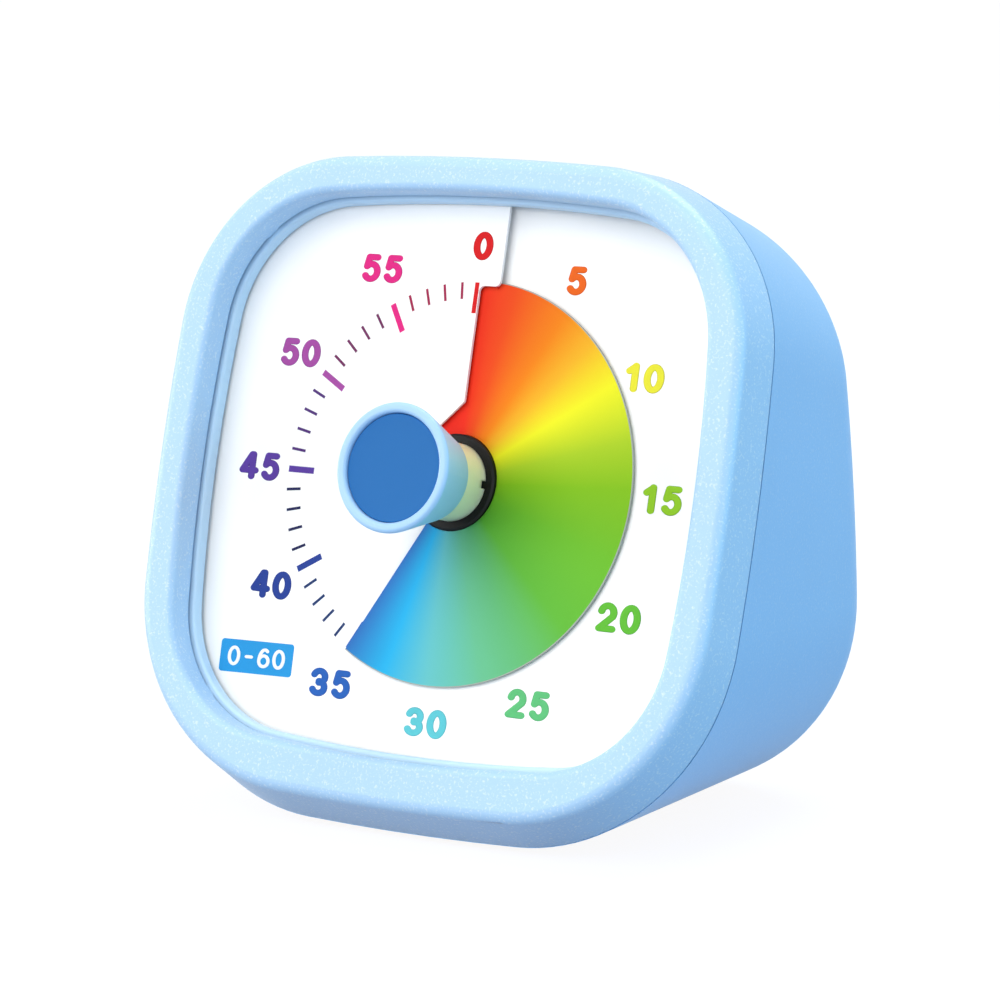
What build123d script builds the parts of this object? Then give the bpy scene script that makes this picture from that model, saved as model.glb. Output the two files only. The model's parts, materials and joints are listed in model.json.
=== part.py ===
from build123d import *
from math import asin, atan, cos, hypot, pi, radians, sin, sqrt, tan
import os

# Sixty-minute visual countdown timer. Lengths in millimetres, angles in degrees.
# Every piece is drawn in the face frame: the origin is the centre of the dial, X is to the
# viewer's right, Y is up the dial, Z is out of the dial towards the viewer. The last step tilts
# the whole timer onto its base.

# ---- driving dimensions -------------------------------------------------------------------
lean = 14.25                 # the dial leans back from vertical

# outside of the housing
face_width = 84.4
face_height = 83.2
face_drop = 1.67             # middle of the outline below the dial centre
top_corner = 23.2
bottom_corner = 27.7
side_bow = 2.1               # the middle of each side stands out by this much from its ends
ring_clearance = 0.761       # lowest point of the outline above the table
front_height = 6.55          # front of the ring in front of the dial centre
ring_round = 1.6             # outer front edge
parting_depth = 0.3          # front and rear shells meet this far behind the dial
ring_narrowing = 1.9         # the ring's front is this much narrower than the parting line
ring_shortening = 3.4
ring_rise = 1.27             # and its middle this much higher
ring_top_corner = 23.4
ring_bottom_corner = 25.0
rear_width = 74.0
rear_top = 39.6              # top of the rear face, measured up the dial
rear_depth = 41.2            # rear face behind the dial centre
rear_tilt = 22.4             # rear face against the dial
rear_top_corner = 23.5
rear_bottom_corner = 27.0
rear_round = 9.5             # edge round the rear face
wall = 2.2
tongue = 1.5                 # rear shell reaches this far into the front one
ring_thickness = 2.2

# opening for the dial
side_land = 5.45             # from the outline to the opening, on each side
end_land = 6.75              # and on average above and below it
opening_rise = 0.28          # middle of the opening above the dial centre
opening_top_corner = 17.4
opening_bottom_corner = 16.8
opening_bow = 2.5
lip_round = 1.0
lip_wall = 1.5               # wall round the opening, behind the lip
lip_gap = 0.35               # shadow gap between that wall and the inner frame
frame_step = 0.7             # the inner frame stands inside the opening by this much
frame_foot = 0.95            # lowest point of the inner frame above the mean dial plane
frame_thickness = 1.5
frame_round = 0.4            # its inner edge

# dial sheet and disc: both are screw surfaces with one slit, so the disc turns through the dial
ramp = 1.2                   # rise of one turn
sheet_thickness = 0.4
sheet_margin = 1.7           # sheet under the inner frame
film_thickness = 0.25
film_radius = 25.2
film_slit = 0.4              # opening of the disc's own slit, in degrees
slit_minutes = 0.03          # opening of the dial's slit, in minutes of the dial
rest_minutes = 35.0
flap_reach = 2.9             # the sheet's upper flap covers the slit outside the disc
flap_corner = 24.45          # the flap starts this far up the slit
flap_round = 0.7
hub_notch_start = 10.0       # the flap is cut back from here to the hub
hub_notch_angle = 45.0

# hub and knob
sleeve_radius = 4.85
sleeve_foot = 1.9
carrier_radius = 6.0
carrier_height = 2.0
carrier_bore_gap = 0.06
carrier_chamfer = 0.25
key_width = 0.9
key_height = 0.5
knob_back = 5.7
knob_front = 14.7
knob_back_radius = 5.45
knob_front_radius = 8.1
knob_rim = 1.5
knob_rim_round = 0.5
knob_foot_round = 0.9
knob_wall = 1.4
knob_grip_depth = 3.0        # sleeve inside the knob
sleeve_chamfer = 0.4
knob_web = 0.8               # between the sleeve's end and the hollow in front of it
knob_hollow_step = 0.6       # the hollow is wider than the wall alone would leave it
cap_recess = 0.55
cap_thickness = 1.4
cap_round = 0.15

# dial plate behind the sheet
plate_top = 2.0              # front of the plate behind the mean dial plane
plate_thickness = 1.6
centre_hole_gap = 0.5

# movement: levels are measured back from the dial plate
movement_left = 22.6
movement_top = 25.0
movement_bottom = 17.0
movement_corner = 3.0
base_thickness = 1.4
cover_wall = 1.2
cover_depth = 12.4
staff_radius = 0.6
pivot_radius = 0.4
pivot_length = 0.8
arbor_radius = 1.5
arbor_pivot_radius = 1.0
arbor_top = 12.2             # the arbor ends inside the knob, this far in front of the dial
bush_radius = 3.2
clutch_radius = 3.4
clutch_thickness = 0.2
clip_radius = 2.6
clip_thickness = 0.35
clip_groove_depth = 0.3
clip_mouth = 1.8
collar_radius = 2.8
collar_thickness = 0.8
wheel_thickness = 0.8
wheel_window = 0.26          # radius of a wheel's windows and their distance from its middle,
wheel_window_place = 0.56    # both as parts of its pitch radius
wheel_hub_back = 0.6         # the centre wheel's hub behind and in front of its rim
wheel_hub_front = 0.7
pinion_length = 1.6
magnet_radius = 3.2
magnet_length = 2.4
stator_thickness = 1.0
stator_depth = 9.0           # its back, behind the dial plate
stator_bore_gap = 0.4

# battery (AA cell), its tray and door, all lying along the rear face
cell_radius = 7.25
cell_length = 50.5
nub_radius = 2.75
nub_length = 1.2
spring_room = 5.6
contact_thickness = 0.4
contact_tab = 1.6            # solder tab in front of the tray
tray_gap = 0.4
tray_wall = 1.2
tray_centre = 4.0            # up the rear face
door_width = 56.0
door_height = 19.0
door_gap = 0.25
door_round = 2.0
door_tab_width = 7.0
door_tab_spacing = 32.0
door_tab_reach = 1.3         # the tabs hook behind the rear wall by this much
door_tab_foot = 0.45         # and stand this deep in the door
door_tab_thickness = 0.8
door_tab_room = 0.5          # beside each tab
door_tab_notch = 2.2         # in from the rear wall
latch_width = 12.0
latch_length = 4.5
latch_slit = 0.8             # lets the latch flex
grip_grooves = 3
grip_start = 2.0             # below the door's top edge
grip_pitch = 1.1
grip_width = 0.6
grip_depth = 0.35
grip_margin = 1.6            # at both ends of a groove
tab_slot = (0.8, 4.4)        # in the tray's floor, round each solder tab

# sound switch, buzzer, feet, screws
switch_centre = -15.5        # up the rear face
switch_travel = 2.0          # each way from the middle
switch_button_width = 3.4
switch_button_height = 3.0
switch_button_proud = 0.7
switch_can = (10.0, 5.4, 4.0)
switch_post = 1.2            # posts under the switch's ears
switch_post_radius = 1.8
switch_ear_offset = 2.0      # screw beyond the end of the switch's can
switch_ear_thickness = 0.8
switch_ear_half_width = 1.7
switch_pilot_radius = 0.75
switch_pilot_depth = 0.6     # left in the rear wall under a pilot hole
switch_groove = (0.4, 0.3)   # width and depth of the grooves on the button
finger_recess = (14.0, 6.6, 0.7)
finger_recess_round = 2.0
buzzer_centre = 25.5
buzzer_radius = 9.0
buzzer_height = 3.0
buzzer_rib = (1.0, 2.0)      # thickness and height of the rib round it
sound_hole_radius = 0.8
sound_hole_ring = 3.6
sound_holes = 6              # round the one in the middle
foot_radius = 4.0
foot_thickness = 1.2
foot_proud = 0.4
foot_places = [(-11.0, 4.0), (11.0, 4.0), (-10.0, 29.0), (10.0, 29.0)]
case_screw_x = 27.0
case_screw_top = 27.0
case_screw_bottom = -16.5
case_post_radius = 3.4
case_post_front = 8.0        # posts meet the dial plate's bosses this far behind the dial
screw_head_radius = 2.1
screw_head_height = 1.5
screw_radius = 1.1
screw_seat = 4.0             # material under the head
frame_screw_radius = 0.7
frame_screw_head_radius = 1.1
frame_screw_head_height = 1.1
frame_screw_gap = 0.15
frame_screw_tip = 4.6
frame_post_radius = 1.5      # posts behind the lip that take these screws
frame_screw_place = 0.34     # from the opening towards the pocket's wall
movement_lug_x = 25.0
movement_lug_y = 4.0
movement_lug_bottom = 19.4
lug_radius = 2.2

lead_radius = 0.45
lead_bend = 1.5
lead_rise = 2.4              # straight run of a lead off its tab or pin

# fits
running_gap = 0.05
screw_gap = 0.3
seat_gap = 0.1
shut_line = 0.2              # between the ring and the rear housing, over the tongue
loose_gap = 0.2

# ---- places that follow from the sizes -----------------------------------------------------
dial_height = (face_height / 2 + face_drop) * cos(radians(lean)) + ring_clearance   # above the table
ring_width, ring_height = face_width - ring_narrowing, face_height - ring_shortening
ring_drop = face_drop - ring_rise
opening_width, opening_height = face_width - 2 * side_land, face_height - 2 * end_land
up = Vector(0, cos(radians(lean)), sin(radians(lean)))
base = Plane(origin=up * -dial_height, x_dir=(1, 0, 0), z_dir=up)     # the table
shell_base = foot_proud                                               # housing above the table
rear = Plane(origin=(0, 0, -rear_depth), x_dir=(1, 0, 0),
             z_dir=(0, -sin(radians(rear_tilt)), cos(radians(rear_tilt))))
plate_back = -plate_top - plate_thickness
movement_floor = plate_back - cover_depth                             # inside of the cover
movement_back = movement_floor - cover_wall
sheet_half = sheet_thickness / 2
big = 200.0


def at(x, y, z):
    return Pos(x, y, z)


def disc_at(radius, low, high, x=0.0, y=0.0):
    """A cylinder along Z between two levels."""
    return at(x, y, low) * Cylinder(radius, high - low, align=(Align.CENTER, Align.CENTER, Align.MIN))


def block(x0, x1, y0, y1, z0, z1):
    return at(x0, y0, z0) * Box(x1 - x0, y1 - y0, z1 - z0, align=(Align.MIN,) * 3)


def bowed_square(width, height, top_radius, bottom_radius, bow):
    """A square with bowed sides and large round corners, as a face about the origin."""
    x, y = width / 2, height / 2
    corners = [(bow - x, y - bow), (x - bow, y - bow), (x - bow, bow - y), (bow - x, bow - y)]
    middles = [(0, y), (x, 0), (0, -y), (-x, 0)]
    sides = [ThreePointArc(corners[i], middles[i], corners[(i + 1) % 4]) for i in range(4)]
    face = Face(Wire(sides))
    face = face.fillet_2d(top_radius, face.vertices().sort_by(Axis.Y)[-2:])
    return face.fillet_2d(bottom_radius, face.vertices().sort_by(Axis.Y)[:2])


def housing_outline(inset=0.0):
    face = bowed_square(face_width - 2 * inset, face_height - 2 * inset,
                        top_corner - inset, bottom_corner - inset, side_bow)
    return at(0, -face_drop, 0) * face


def front_shape(inset, low, high):
    """The ring's outside, shrunk by a wall thickness, between two levels."""
    front = bowed_square(ring_width - 2 * inset, ring_height - 2 * inset,
                         ring_top_corner - inset, ring_bottom_corner - inset, side_bow)
    body = loft([at(0, 0, -parting_depth) * housing_outline(inset),
                 at(0, -ring_drop, front_height) * front], ruled=True)
    return body & block(-big, big, -big, big, low, high)


def opening_outline(inset=0.0):
    face = bowed_square(opening_width - 2 * inset, opening_height - 2 * inset,
                        opening_top_corner - inset, opening_bottom_corner - inset, opening_bow)
    return at(0, opening_rise, 0) * face


def slab(face, low, high):
    """A flat outline extruded between two levels."""
    return extrude(at(0, 0, low) * face, high - low, dir=(0, 0, 1))


def under_base(height):
    """Everything below a level above the table."""
    return base * at(0, 0, height - big) * Box(4 * big, 4 * big, 2 * big)


def rear_shape(inset):
    """The wedge behind the parting line, shrunk by a wall thickness."""
    tilt = radians(rear_tilt)
    bottom_edge = (rear_depth * up.Z - dial_height + shell_base) / (up.Y + tan(tilt) * up.Z)
    low, high = bottom_edge / cos(tilt), rear_top / cos(tilt)
    rear_face = bowed_square(rear_width - 2 * inset, high - low - 2 * inset,
                             rear_top_corner - inset, rear_bottom_corner - inset, side_bow)
    rear_face = rear * at(0, (low + high) / 2, inset) * rear_face
    front_face = at(0, 0, -parting_depth) * housing_outline(inset)
    body = loft([front_face, rear_face], ruled=True)
    rear_edges = body.faces().sort_by(Axis(rear.origin, rear.z_dir))[0].edges()
    body = fillet(rear_edges, rear_round - inset)
    return body - under_base(shell_base + inset)


def screw(x, y, seat, tip, radius=screw_radius, head=screw_head_radius, height=screw_head_height):
    """A pan-head screw: the head lies behind the seat, the shank runs forward to the tip."""
    body = disc_at(head, seat - height, seat, x, y)
    body = fillet(body.faces().sort_by(Axis.Z)[0].edges(), head / 5)
    body += disc_at(radius, seat, tip, x, y)
    for turn in (0, 90):
        slot = Box(1.1 * head, head / 4, height)
        body -= at(x, y, seat - height) * Rot(0, 0, turn) * slot
    return body


# ---- screw surfaces ------------------------------------------------------------------------
def helicoid(inner, outer, below, above, start_minutes, start_height, minutes):
    """A ramp that rises clockwise by one pitch a turn, from a clock position and a height."""
    turns = minutes / 60
    path = Edge.make_helix(ramp, ramp * turns, (inner + outer) / 2, lefthand=True)
    foot = [(inner, 0, -below), (outer, 0, -below), (outer, 0, above), (inner, 0, above)]
    section = Face(Wire.make_polygon([Vector(*p) for p in foot], close=True))
    body = sweep(section, path=path, is_frenet=True)
    return at(0, 0, start_height) * Rot(0, 0, 90 - 6 * start_minutes) * body


def corner_middle(width, height, drop, radius, bow, side, vertical):
    """Middle of a round corner of a bowed square."""
    x, y = width / 2 - bow, height / 2 - bow
    swell = 2 * atan(bow / x)                # the sides meet at more than a right angle
    cut = radius * (1 / sin(pi / 4 + swell) - 1) / sqrt(2)
    return Vector(side * (x - cut), vertical * (y - cut) - drop)


def screw_points():
    """Corner screws of the dial, between the opening and the pocket behind the ring."""
    points = []
    for side in (-1, 1):
        for outer_round, inner_round, vertical in ((ring_top_corner, opening_top_corner, 1),
                                                   (ring_bottom_corner, opening_bottom_corner, -1)):
            outer = corner_middle(ring_width - 2 * wall, ring_height - 2 * wall, ring_drop,
                                  outer_round - wall, side_bow, side, vertical)
            inner = corner_middle(opening_width, opening_height, -opening_rise, inner_round,
                                  opening_bow, side, vertical)
            middle = inner + (outer - inner) * frame_screw_place
            points.append((middle.X, middle.Y))
    return points


def case_points():
    return [(x, y) for x in (-case_screw_x, case_screw_x) for y in (case_screw_bottom, case_screw_top)]


def lug_points():
    return [(-movement_lug_x, movement_lug_y), (movement_lug_x, movement_lug_y),
            (0, -movement_lug_bottom)]


dial_low = -ramp / 2
flap_minutes = 1.4           # the swept sheet runs on past the slit, and the flap is cut from it
pocket_top = front_height - ring_thickness
frame_top = frame_foot + frame_thickness


# ---- housing -------------------------------------------------------------------------------
def make_front_bezel():
    body = front_shape(0, shut_line - parting_depth, front_height)
    body = fillet(body.faces().sort_by(Axis.Z)[-1].edges(), ring_round)
    body -= front_shape(wall, -parting_depth, pocket_top)
    body += slab(opening_outline(-lip_wall), frame_top + lip_gap, pocket_top + seat_gap)
    for x, y in screw_points():
        body += disc_at(frame_post_radius, frame_top + seat_gap, pocket_top + seat_gap, x, y)
    body -= slab(opening_outline(), -parting_depth, front_height)
    lip = [e for e in body.faces().sort_by(Axis.Z)[-1].inner_wires()[0].edges()]
    body = fillet(lip, lip_round)
    body -= front_shape(wall / 2 - seat_gap, -parting_depth, tongue - parting_depth + seat_gap)
    for x, y in screw_points():
        body -= disc_at(frame_screw_radius + running_gap, frame_top, frame_screw_tip + seat_gap, x, y)
    return body - under_base(shell_base)


def make_rear_shell():
    body = rear_shape(0) - rear_shape(wall)
    body += (front_shape(wall / 2, -parting_depth, tongue - parting_depth)
             - front_shape(wall, -parting_depth, tongue - parting_depth))
    body += tray_walls()
    inside = rear_shape(wall / 2)
    for x, y in case_points():
        body += disc_at(case_post_radius, -rear_depth * 1.5, -case_post_front, x, y) & inside
    body += rear * at(0, buzzer_centre, wall - seat_gap) * ring_wall(buzzer_radius + loose_gap, *buzzer_rib)
    for side in (-1, 1):
        post = Cylinder(switch_post_radius, switch_post + seat_gap, align=(Align.CENTER, Align.CENTER, Align.MIN))
        body += rear * at(side * switch_ear, switch_centre, wall - seat_gap) * post
    for x, y in case_points():
        seat = -case_post_front - screw_seat
        body -= disc_at(screw_head_radius + screw_gap, -2 * rear_depth, seat, x, y)
        body -= disc_at(screw_radius + screw_gap, seat, -case_post_front, x, y)
    body -= rear * door_prism(0.0)
    body -= switch_cut()
    for i in range(1 + sound_holes):
        ring, turn = (sound_hole_ring if i else 0), 2 * pi * i / sound_holes
        x, y = ring * cos(turn), buzzer_centre + ring * sin(turn)
        body -= rear * at(x, y, 0) * Cylinder(sound_hole_radius, 4 * wall)
    for x, y in foot_places:
        pad = foot_radius + running_gap
        body -= base * at(x, y, 0) * Cylinder(pad, 2 * foot_thickness, align=(Align.CENTER,) * 3)
    return body


def ring_wall(inner, thickness, height):
    """A round rib that stands on the rear wall."""
    align = (Align.CENTER, Align.CENTER, Align.MIN)
    return Cylinder(inner + thickness, height, align=align) - Cylinder(inner, height, align=align)


tray_length = cell_length + spring_room + 2 * contact_thickness
tray_half_height = cell_radius + tray_gap
tray_floor = wall + tray_gap + 2 * cell_radius + tray_gap     # inside of the tray, from the rear face


def rear_block(x0, x1, v0, v1, w0, w1):
    """A block along the rear face: across, up it, and in from it."""
    return rear * block(x0, x1, v0, v1, w0, w1)


def door_prism(inset):
    outline = RectangleRounded(door_width - 2 * inset, door_height - 2 * inset, door_round - inset)
    return at(0, tray_centre, -wall) * extrude(outline, 2 * wall, dir=(0, 0, 1))


def tray_walls():
    """Battery tray moulded onto the rear wall, open to the rear."""
    half, low, high = tray_length / 2, tray_centre - tray_half_height, tray_centre + tray_half_height
    slot_width, slot_height = tab_slot
    body = rear_block(-half - tray_wall, half + tray_wall, low - tray_wall, high + tray_wall,
                      wall / 2, tray_floor + tray_wall) & rear_shape(wall / 2)
    body -= rear_block(-half, half, low, high, 0, tray_floor)
    for side in (-1, 1):
        middle = side * door_tab_spacing / 2
        notch = door_tab_width / 2 + door_tab_room
        body -= rear_block(middle - notch, middle + notch, low - 2 * tray_wall, low + 0.1,
                           wall, wall + door_tab_notch)
        slot = side * (half - contact_thickness / 2)
        body -= rear_block(slot - slot_width / 2, slot + slot_width / 2,
                           tray_centre - slot_height / 2, tray_centre + slot_height / 2,
                           tray_floor - 0.1, tray_floor + tray_wall + 0.1)
    return body


def make_battery_door():
    skin = rear_shape(0) - rear_shape(wall - running_gap)
    body = skin & (rear * door_prism(door_gap))
    low = tray_centre - door_height / 2 + door_gap
    for side in (-1, 1):
        middle = side * door_tab_spacing / 2
        half = door_tab_width / 2
        body += rear_block(middle - half, middle + half, low - door_tab_reach, low + door_tab_foot,
                           wall + seat_gap, wall + seat_gap + door_tab_thickness)
        body += rear_block(middle - half, middle + half, low, low + door_tab_foot,
                           wall / 2, wall + 2 * seat_gap)
    top = tray_centre + door_height / 2 - door_gap
    for side in (-1, 1):
        cut = side * latch_width / 2
        body -= rear_block(cut - latch_slit / 2, cut + latch_slit / 2, top - latch_length, top + 1,
                           -1, 2 * wall)
    end = latch_width / 2 - grip_margin
    for i in range(grip_grooves):
        groove = top - grip_start - grip_pitch * i
        body -= rear_block(-end, end, groove - grip_width / 2, groove + grip_width / 2,
                           -1, grip_depth)
    return body


switch_ear = switch_can[0] / 2 + switch_ear_offset


def switch_cut():
    slot_width = switch_button_width + 2 * switch_travel + 2 * screw_gap
    slot = at(0, switch_centre, wall / 2) * Box(slot_width, switch_button_height + 2 * screw_gap, 2 * wall)
    width, height, depth = finger_recess
    recess = extrude(RectangleRounded(width, height, finger_recess_round), depth, dir=(0, 0, 1))
    pilots = [at(side * switch_ear, switch_centre, wall - switch_pilot_depth)
              * Cylinder(switch_pilot_radius, 3, align=(Align.CENTER, Align.CENTER, Align.MIN))
              for side in (-1, 1)]
    return (rear * slot) + (rear * at(0, switch_centre, 0) * recess) + [rear * p for p in pilots]


# ---- dial ----------------------------------------------------------------------------------
def make_dial_frame():
    body = front_shape(wall + loose_gap, frame_foot, frame_top)
    body -= slab(opening_outline(frame_step), frame_foot, frame_top)
    body = fillet(body.faces().sort_by(Axis.Z)[-1].inner_wires()[0].edges(), frame_round)
    for x, y in screw_points():
        body -= disc_at(frame_screw_radius + frame_screw_gap, frame_foot, frame_top, x, y)
    return body - under_base(shell_base + wall + loose_gap)


def make_dial_sheet():
    outer = hypot(opening_width, opening_height) / 2
    body = helicoid(carrier_radius + centre_hole_gap, outer, sheet_half, sheet_half,
                    slit_minutes, dial_low, 60 + flap_minutes)
    body &= slab(opening_outline(-sheet_margin), -3 * ramp, 3 * ramp)
    # cut the flap out of the swept sheet: only the upper layer beyond the slit is touched
    far = 3 * flap_reach
    cut = Polyline((0, 0), (0, flap_corner), (flap_reach, flap_corner), (flap_reach, outer),
                   (far, outer), (far, 0), close=True)
    face = make_face(cut)
    corners = face.vertices().filter_by(lambda v: abs(v.Y - flap_corner) < 1e-6)
    face = fillet(corners, flap_round)
    slope = tan(radians(hub_notch_angle))
    notch = Polyline((0, hub_notch_start), (-hub_notch_start / slope, 0), (0, 0), close=True)
    body -= slab(face, sheet_thickness / 4, 2 * ramp)
    body -= slab(make_face(notch), sheet_thickness / 4, 2 * ramp)
    for x, y in screw_points():
        body -= disc_at(frame_screw_radius + frame_screw_gap, -2 * ramp, 2 * ramp, x, y)
    return body


def make_dial_plate():
    body = front_shape(wall + loose_gap, -parting_depth, frame_foot - seat_gap)
    body += slab(housing_outline(wall), plate_back, -parting_depth) & rear_shape(wall + loose_gap)
    body -= slab(opening_outline(-loose_gap), -plate_top, frame_foot)
    # the rim carries the sheet, so its top is cut to the sheet's own screw surface
    outer, under, lift = 0.75 * face_width, sheet_half + running_gap, 3 * ramp
    body -= helicoid(film_radius, outer, under, lift, 0, dial_low, 31)
    body -= helicoid(film_radius, outer, under, lift, 30, dial_low + ramp / 2, 30 + flap_minutes)
    body -= disc_at(bush_radius + running_gap, plate_back, 0)
    for x, y in case_points():
        body += disc_at(case_post_radius, seat_gap - case_post_front, plate_back, x, y)
        body -= disc_at(screw_radius + running_gap, seat_gap - case_post_front, -plate_top - 0.5, x, y)
    for x, y in screw_points():
        body -= disc_at(frame_screw_radius + frame_screw_gap, plate_back, frame_foot, x, y)
        body -= disc_at(frame_screw_head_radius + frame_screw_gap, plate_back,
                        plate_back + frame_screw_head_height, x, y)
    for x, y in lug_points():
        body -= disc_at(screw_radius + running_gap, plate_back, -plate_top - 0.4, x, y)
    return body - under_base(shell_base + wall + loose_gap)


def make_disc_film():
    low = ramp * rest_minutes / 60 - ramp
    half = film_thickness / 2
    return helicoid(carrier_radius + running_gap, film_radius, half, half,
                    rest_minutes + film_slit / 12, low, 60 - film_slit / 6)


def keys(width, height, low, high):
    """Two keys on opposite sides of the sleeve, running along it."""
    reach = sleeve_radius - height
    return [at(0, 0, (low + high) / 2) * Rot(0, 0, turn)
            * at(reach, 0, 0) * Box(2 * height, width, high - low, align=(Align.MIN,) + (Align.CENTER,) * 2)
            for turn in (0, 180)]


carrier_low = ramp * rest_minutes / 60 - ramp / 2 - carrier_height / 2


def make_disc_carrier():
    low, high = carrier_low, carrier_low + carrier_height
    body = disc_at(carrier_radius, low, high)
    body = chamfer(body.faces().sort_by(Axis.Z)[-1].edges(), carrier_chamfer)
    body -= disc_at(sleeve_radius + carrier_bore_gap, low, high)
    for key in keys(key_width, key_height, low, high):
        body += key & disc_at(carrier_radius - 0.2, low, high)
    return body


# ---- knob ----------------------------------------------------------------------------------
cap_back = knob_front - cap_recess - cap_thickness
cap_radius = knob_front_radius - knob_rim
sleeve_top = knob_back + knob_grip_depth


def make_hub_sleeve():
    body = disc_at(sleeve_radius, -sleeve_foot, sleeve_top)
    body = chamfer(body.faces().sort_by(Axis.Z)[-1].edges(), sleeve_chamfer)
    body -= disc_at(arbor_radius + running_gap, -sleeve_foot, sleeve_top)
    top = carrier_low + carrier_height + 1.0
    for key in keys(key_width + 2 * running_gap, key_height + running_gap, -sleeve_foot, top):
        body -= key
    return body


def make_knob():
    profile = Polyline((0, knob_back), (knob_back_radius, knob_back),
                       (knob_front_radius, knob_front), (cap_radius + running_gap, knob_front),
                       (cap_radius + running_gap, cap_back), (0, cap_back), close=True)
    face = make_face(profile)
    rim = face.vertices().filter_by(lambda v: v.Y > knob_front - 1e-6)
    face = fillet(rim, knob_rim_round)
    foot = face.vertices().filter_by(lambda v: v.Y < knob_back + 1e-6 and v.X > 1)
    face = fillet(foot, knob_foot_round)
    body = revolve(Plane.XZ * face, Axis.Z)
    hub = arbor_radius + knob_wall
    start = sleeve_top + knob_web
    hollow = disc_at(knob_back_radius - knob_wall + knob_hollow_step, start, cap_back)
    body -= hollow - disc_at(hub, start, cap_back)
    body -= disc_at(sleeve_radius + running_gap, knob_back, sleeve_top + running_gap)
    return body - disc_at(arbor_radius + running_gap, knob_back, arbor_top + seat_gap)


def make_knob_cap():
    body = disc_at(cap_radius, cap_back, cap_back + cap_thickness)
    return fillet(body.faces().sort_by(Axis.Z)[-1].edges(), cap_round)


# ---- gears ---------------------------------------------------------------------------------
def gear(teeth, module, bore=0.0, addendum=0.8, dedendum=1.15, play=0.12):
    """Flat gear with straight-flanked teeth; a tooth is centred on +X."""
    pitch = module * teeth / 2
    tip, root = pitch + addendum * module, pitch - dedendum * module
    half_pitch = module * (pi / 4 - play)                   # half tooth on the pitch circle
    flank = tan(radians(20))
    half_tip = half_pitch - addendum * module * flank
    half_root = min(half_pitch + 0.25 * dedendum * module * flank, 0.62 * half_pitch * root / pitch
                    if teeth < 12 else half_pitch * 1.1)
    points = []
    for i in range(teeth):
        middle = 2 * pi * i / teeth
        for radius, half in ((root, -half_root), (pitch, -half_pitch), (tip, -half_tip),
                             (tip, half_tip), (pitch, half_pitch), (root, half_root)):
            angle = middle + asin(half / radius)
            points.append((radius * cos(angle), radius * sin(angle)))
    face = make_face(Polyline(*points, close=True))
    return face - Circle(bore) if bore else face


class Stage:
    """One meshing pair of the train: a wheel on one arbor turns a pinion on the next."""

    def __init__(self, wheel_teeth, pinion_teeth, module, bearing, level):
        self.wheel_teeth = wheel_teeth
        self.pinion_teeth = pinion_teeth
        self.module = module
        self.bearing = bearing               # direction from the wheel's arbor to the pinion's
        self.level = level                   # back of the wheel's rim, behind the dial plate
        self.distance = module * (wheel_teeth + pinion_teeth) / 2

    def wheel_radius(self):
        return self.module * self.wheel_teeth / 2


train = [Stage(60, 8, 0.40, 125, 3.9), Stage(64, 8, 0.35, 10, 6.5),
         Stage(60, 10, 0.30, -35, 9.1), Stage(50, 10, 0.25, -80, 11.4)]
arbors = [(0.0, 0.0)]
for stage in train:
    x, y = arbors[-1]
    turn = radians(stage.bearing)
    arbors.append((x + stage.distance * cos(turn), y + stage.distance * sin(turn)))


def wheel_level(i):
    return plate_back - train[i].level


def wheel_blank(i, bore=0.0):
    """The toothed rim of stage i, with a tooth towards the pinion it drives."""
    stage = train[i]
    face = Rot(0, 0, stage.bearing) * gear(stage.wheel_teeth, stage.module, bore)
    window = wheel_window * stage.wheel_radius()
    reach = wheel_window_place * stage.wheel_radius()
    for k in range(4):
        place = Rot(0, 0, 45 + 90 * k + stage.bearing) * at(reach, 0, 0)
        face -= place * Circle(window)
    low = wheel_level(i)
    return at(arbors[i][0], arbors[i][1], 0) * slab(face, low, low + wheel_thickness)


def pinion_blank(i, low, high):
    """The pinion driven by stage i, with a gap towards its wheel."""
    stage = train[i]
    half_tooth = 180 / stage.pinion_teeth
    face = Rot(0, 0, stage.bearing + 180 + half_tooth) * gear(stage.pinion_teeth, stage.module)
    return at(arbors[i + 1][0], arbors[i + 1][1], 0) * slab(face, low, high)


def staff(i):
    """A plain arbor between the movement's plates, with a pivot at each end."""
    x, y = arbors[i]
    front, back = plate_back - base_thickness - seat_gap, movement_floor + seat_gap
    return (disc_at(staff_radius, back, front, x, y)
            + disc_at(pivot_radius, back - pivot_length, front + pivot_length, x, y))


def make_centre_wheel():
    low = wheel_level(0)
    body = wheel_blank(0)
    body += disc_at(collar_radius, low - wheel_hub_back, low + wheel_thickness + wheel_hub_front)
    return body - disc_at(arbor_radius + running_gap, low - 1, low + wheel_thickness + 1)


def make_train_wheel(i):
    """A moulded wheel, its pinion and its arbor in one piece."""
    over = (pinion_length - wheel_thickness) / 2
    mesh = wheel_level(i - 1)
    body = wheel_blank(i) + pinion_blank(i - 1, mesh - over, mesh + wheel_thickness + over)
    return body + staff(i)


def make_rotor_pinion():
    mesh = wheel_level(3)
    over = (pinion_length - wheel_thickness) / 2
    return pinion_blank(3, mesh - over, mesh + wheel_thickness + over) + staff(4)


stator_level = plate_back - stator_depth


def make_rotor_magnet():
    x, y = arbors[4]
    middle = stator_level + stator_thickness / 2
    body = disc_at(magnet_radius, middle - magnet_length / 2, middle + magnet_length / 2, x, y)
    return body - disc_at(staff_radius + running_gap, -big, 0, x, y)


# ---- centre arbor and clutch ---------------------------------------------------------------
arbor_back = movement_floor + seat_gap
collar_front = wheel_level(0) - wheel_hub_back


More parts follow.
